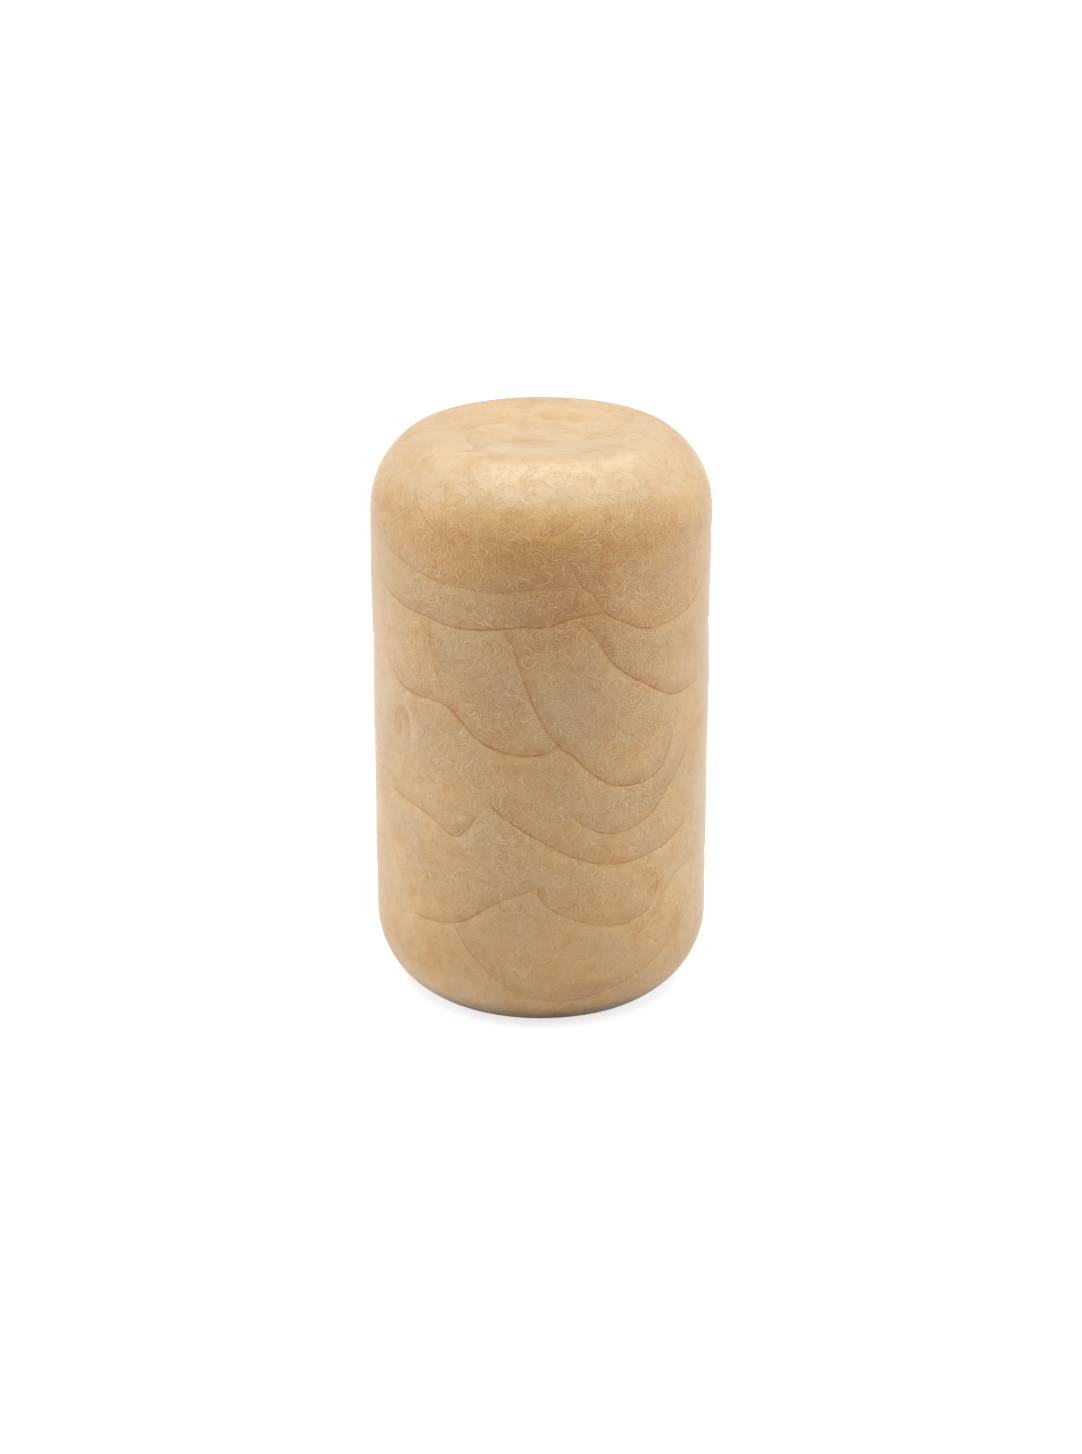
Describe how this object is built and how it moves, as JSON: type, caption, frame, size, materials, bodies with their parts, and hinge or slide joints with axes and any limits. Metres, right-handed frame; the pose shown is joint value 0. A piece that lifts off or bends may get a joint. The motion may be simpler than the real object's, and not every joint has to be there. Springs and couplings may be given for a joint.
{
  "type": "synthetic wine cork",
  "caption": "Round moulded bottle stopper with a straight side, rounded shoulders and a shallow sink in each flat end.",
  "frame": {"origin": "centre of the lower end, on the plane of its seat ring", "axes": "+Z along the axis of the cork, from the lower end to the upper one; the cork is round, so X and Y are free"},
  "size_m": [0.022, 0.022, 0.038],
  "materials": {
    "foam_skin": "satin skin with fine moulded flow lines"
  },
  "bodies": {
    "root": {"cork": "foam_skin"}
  },
  "joints": []
}
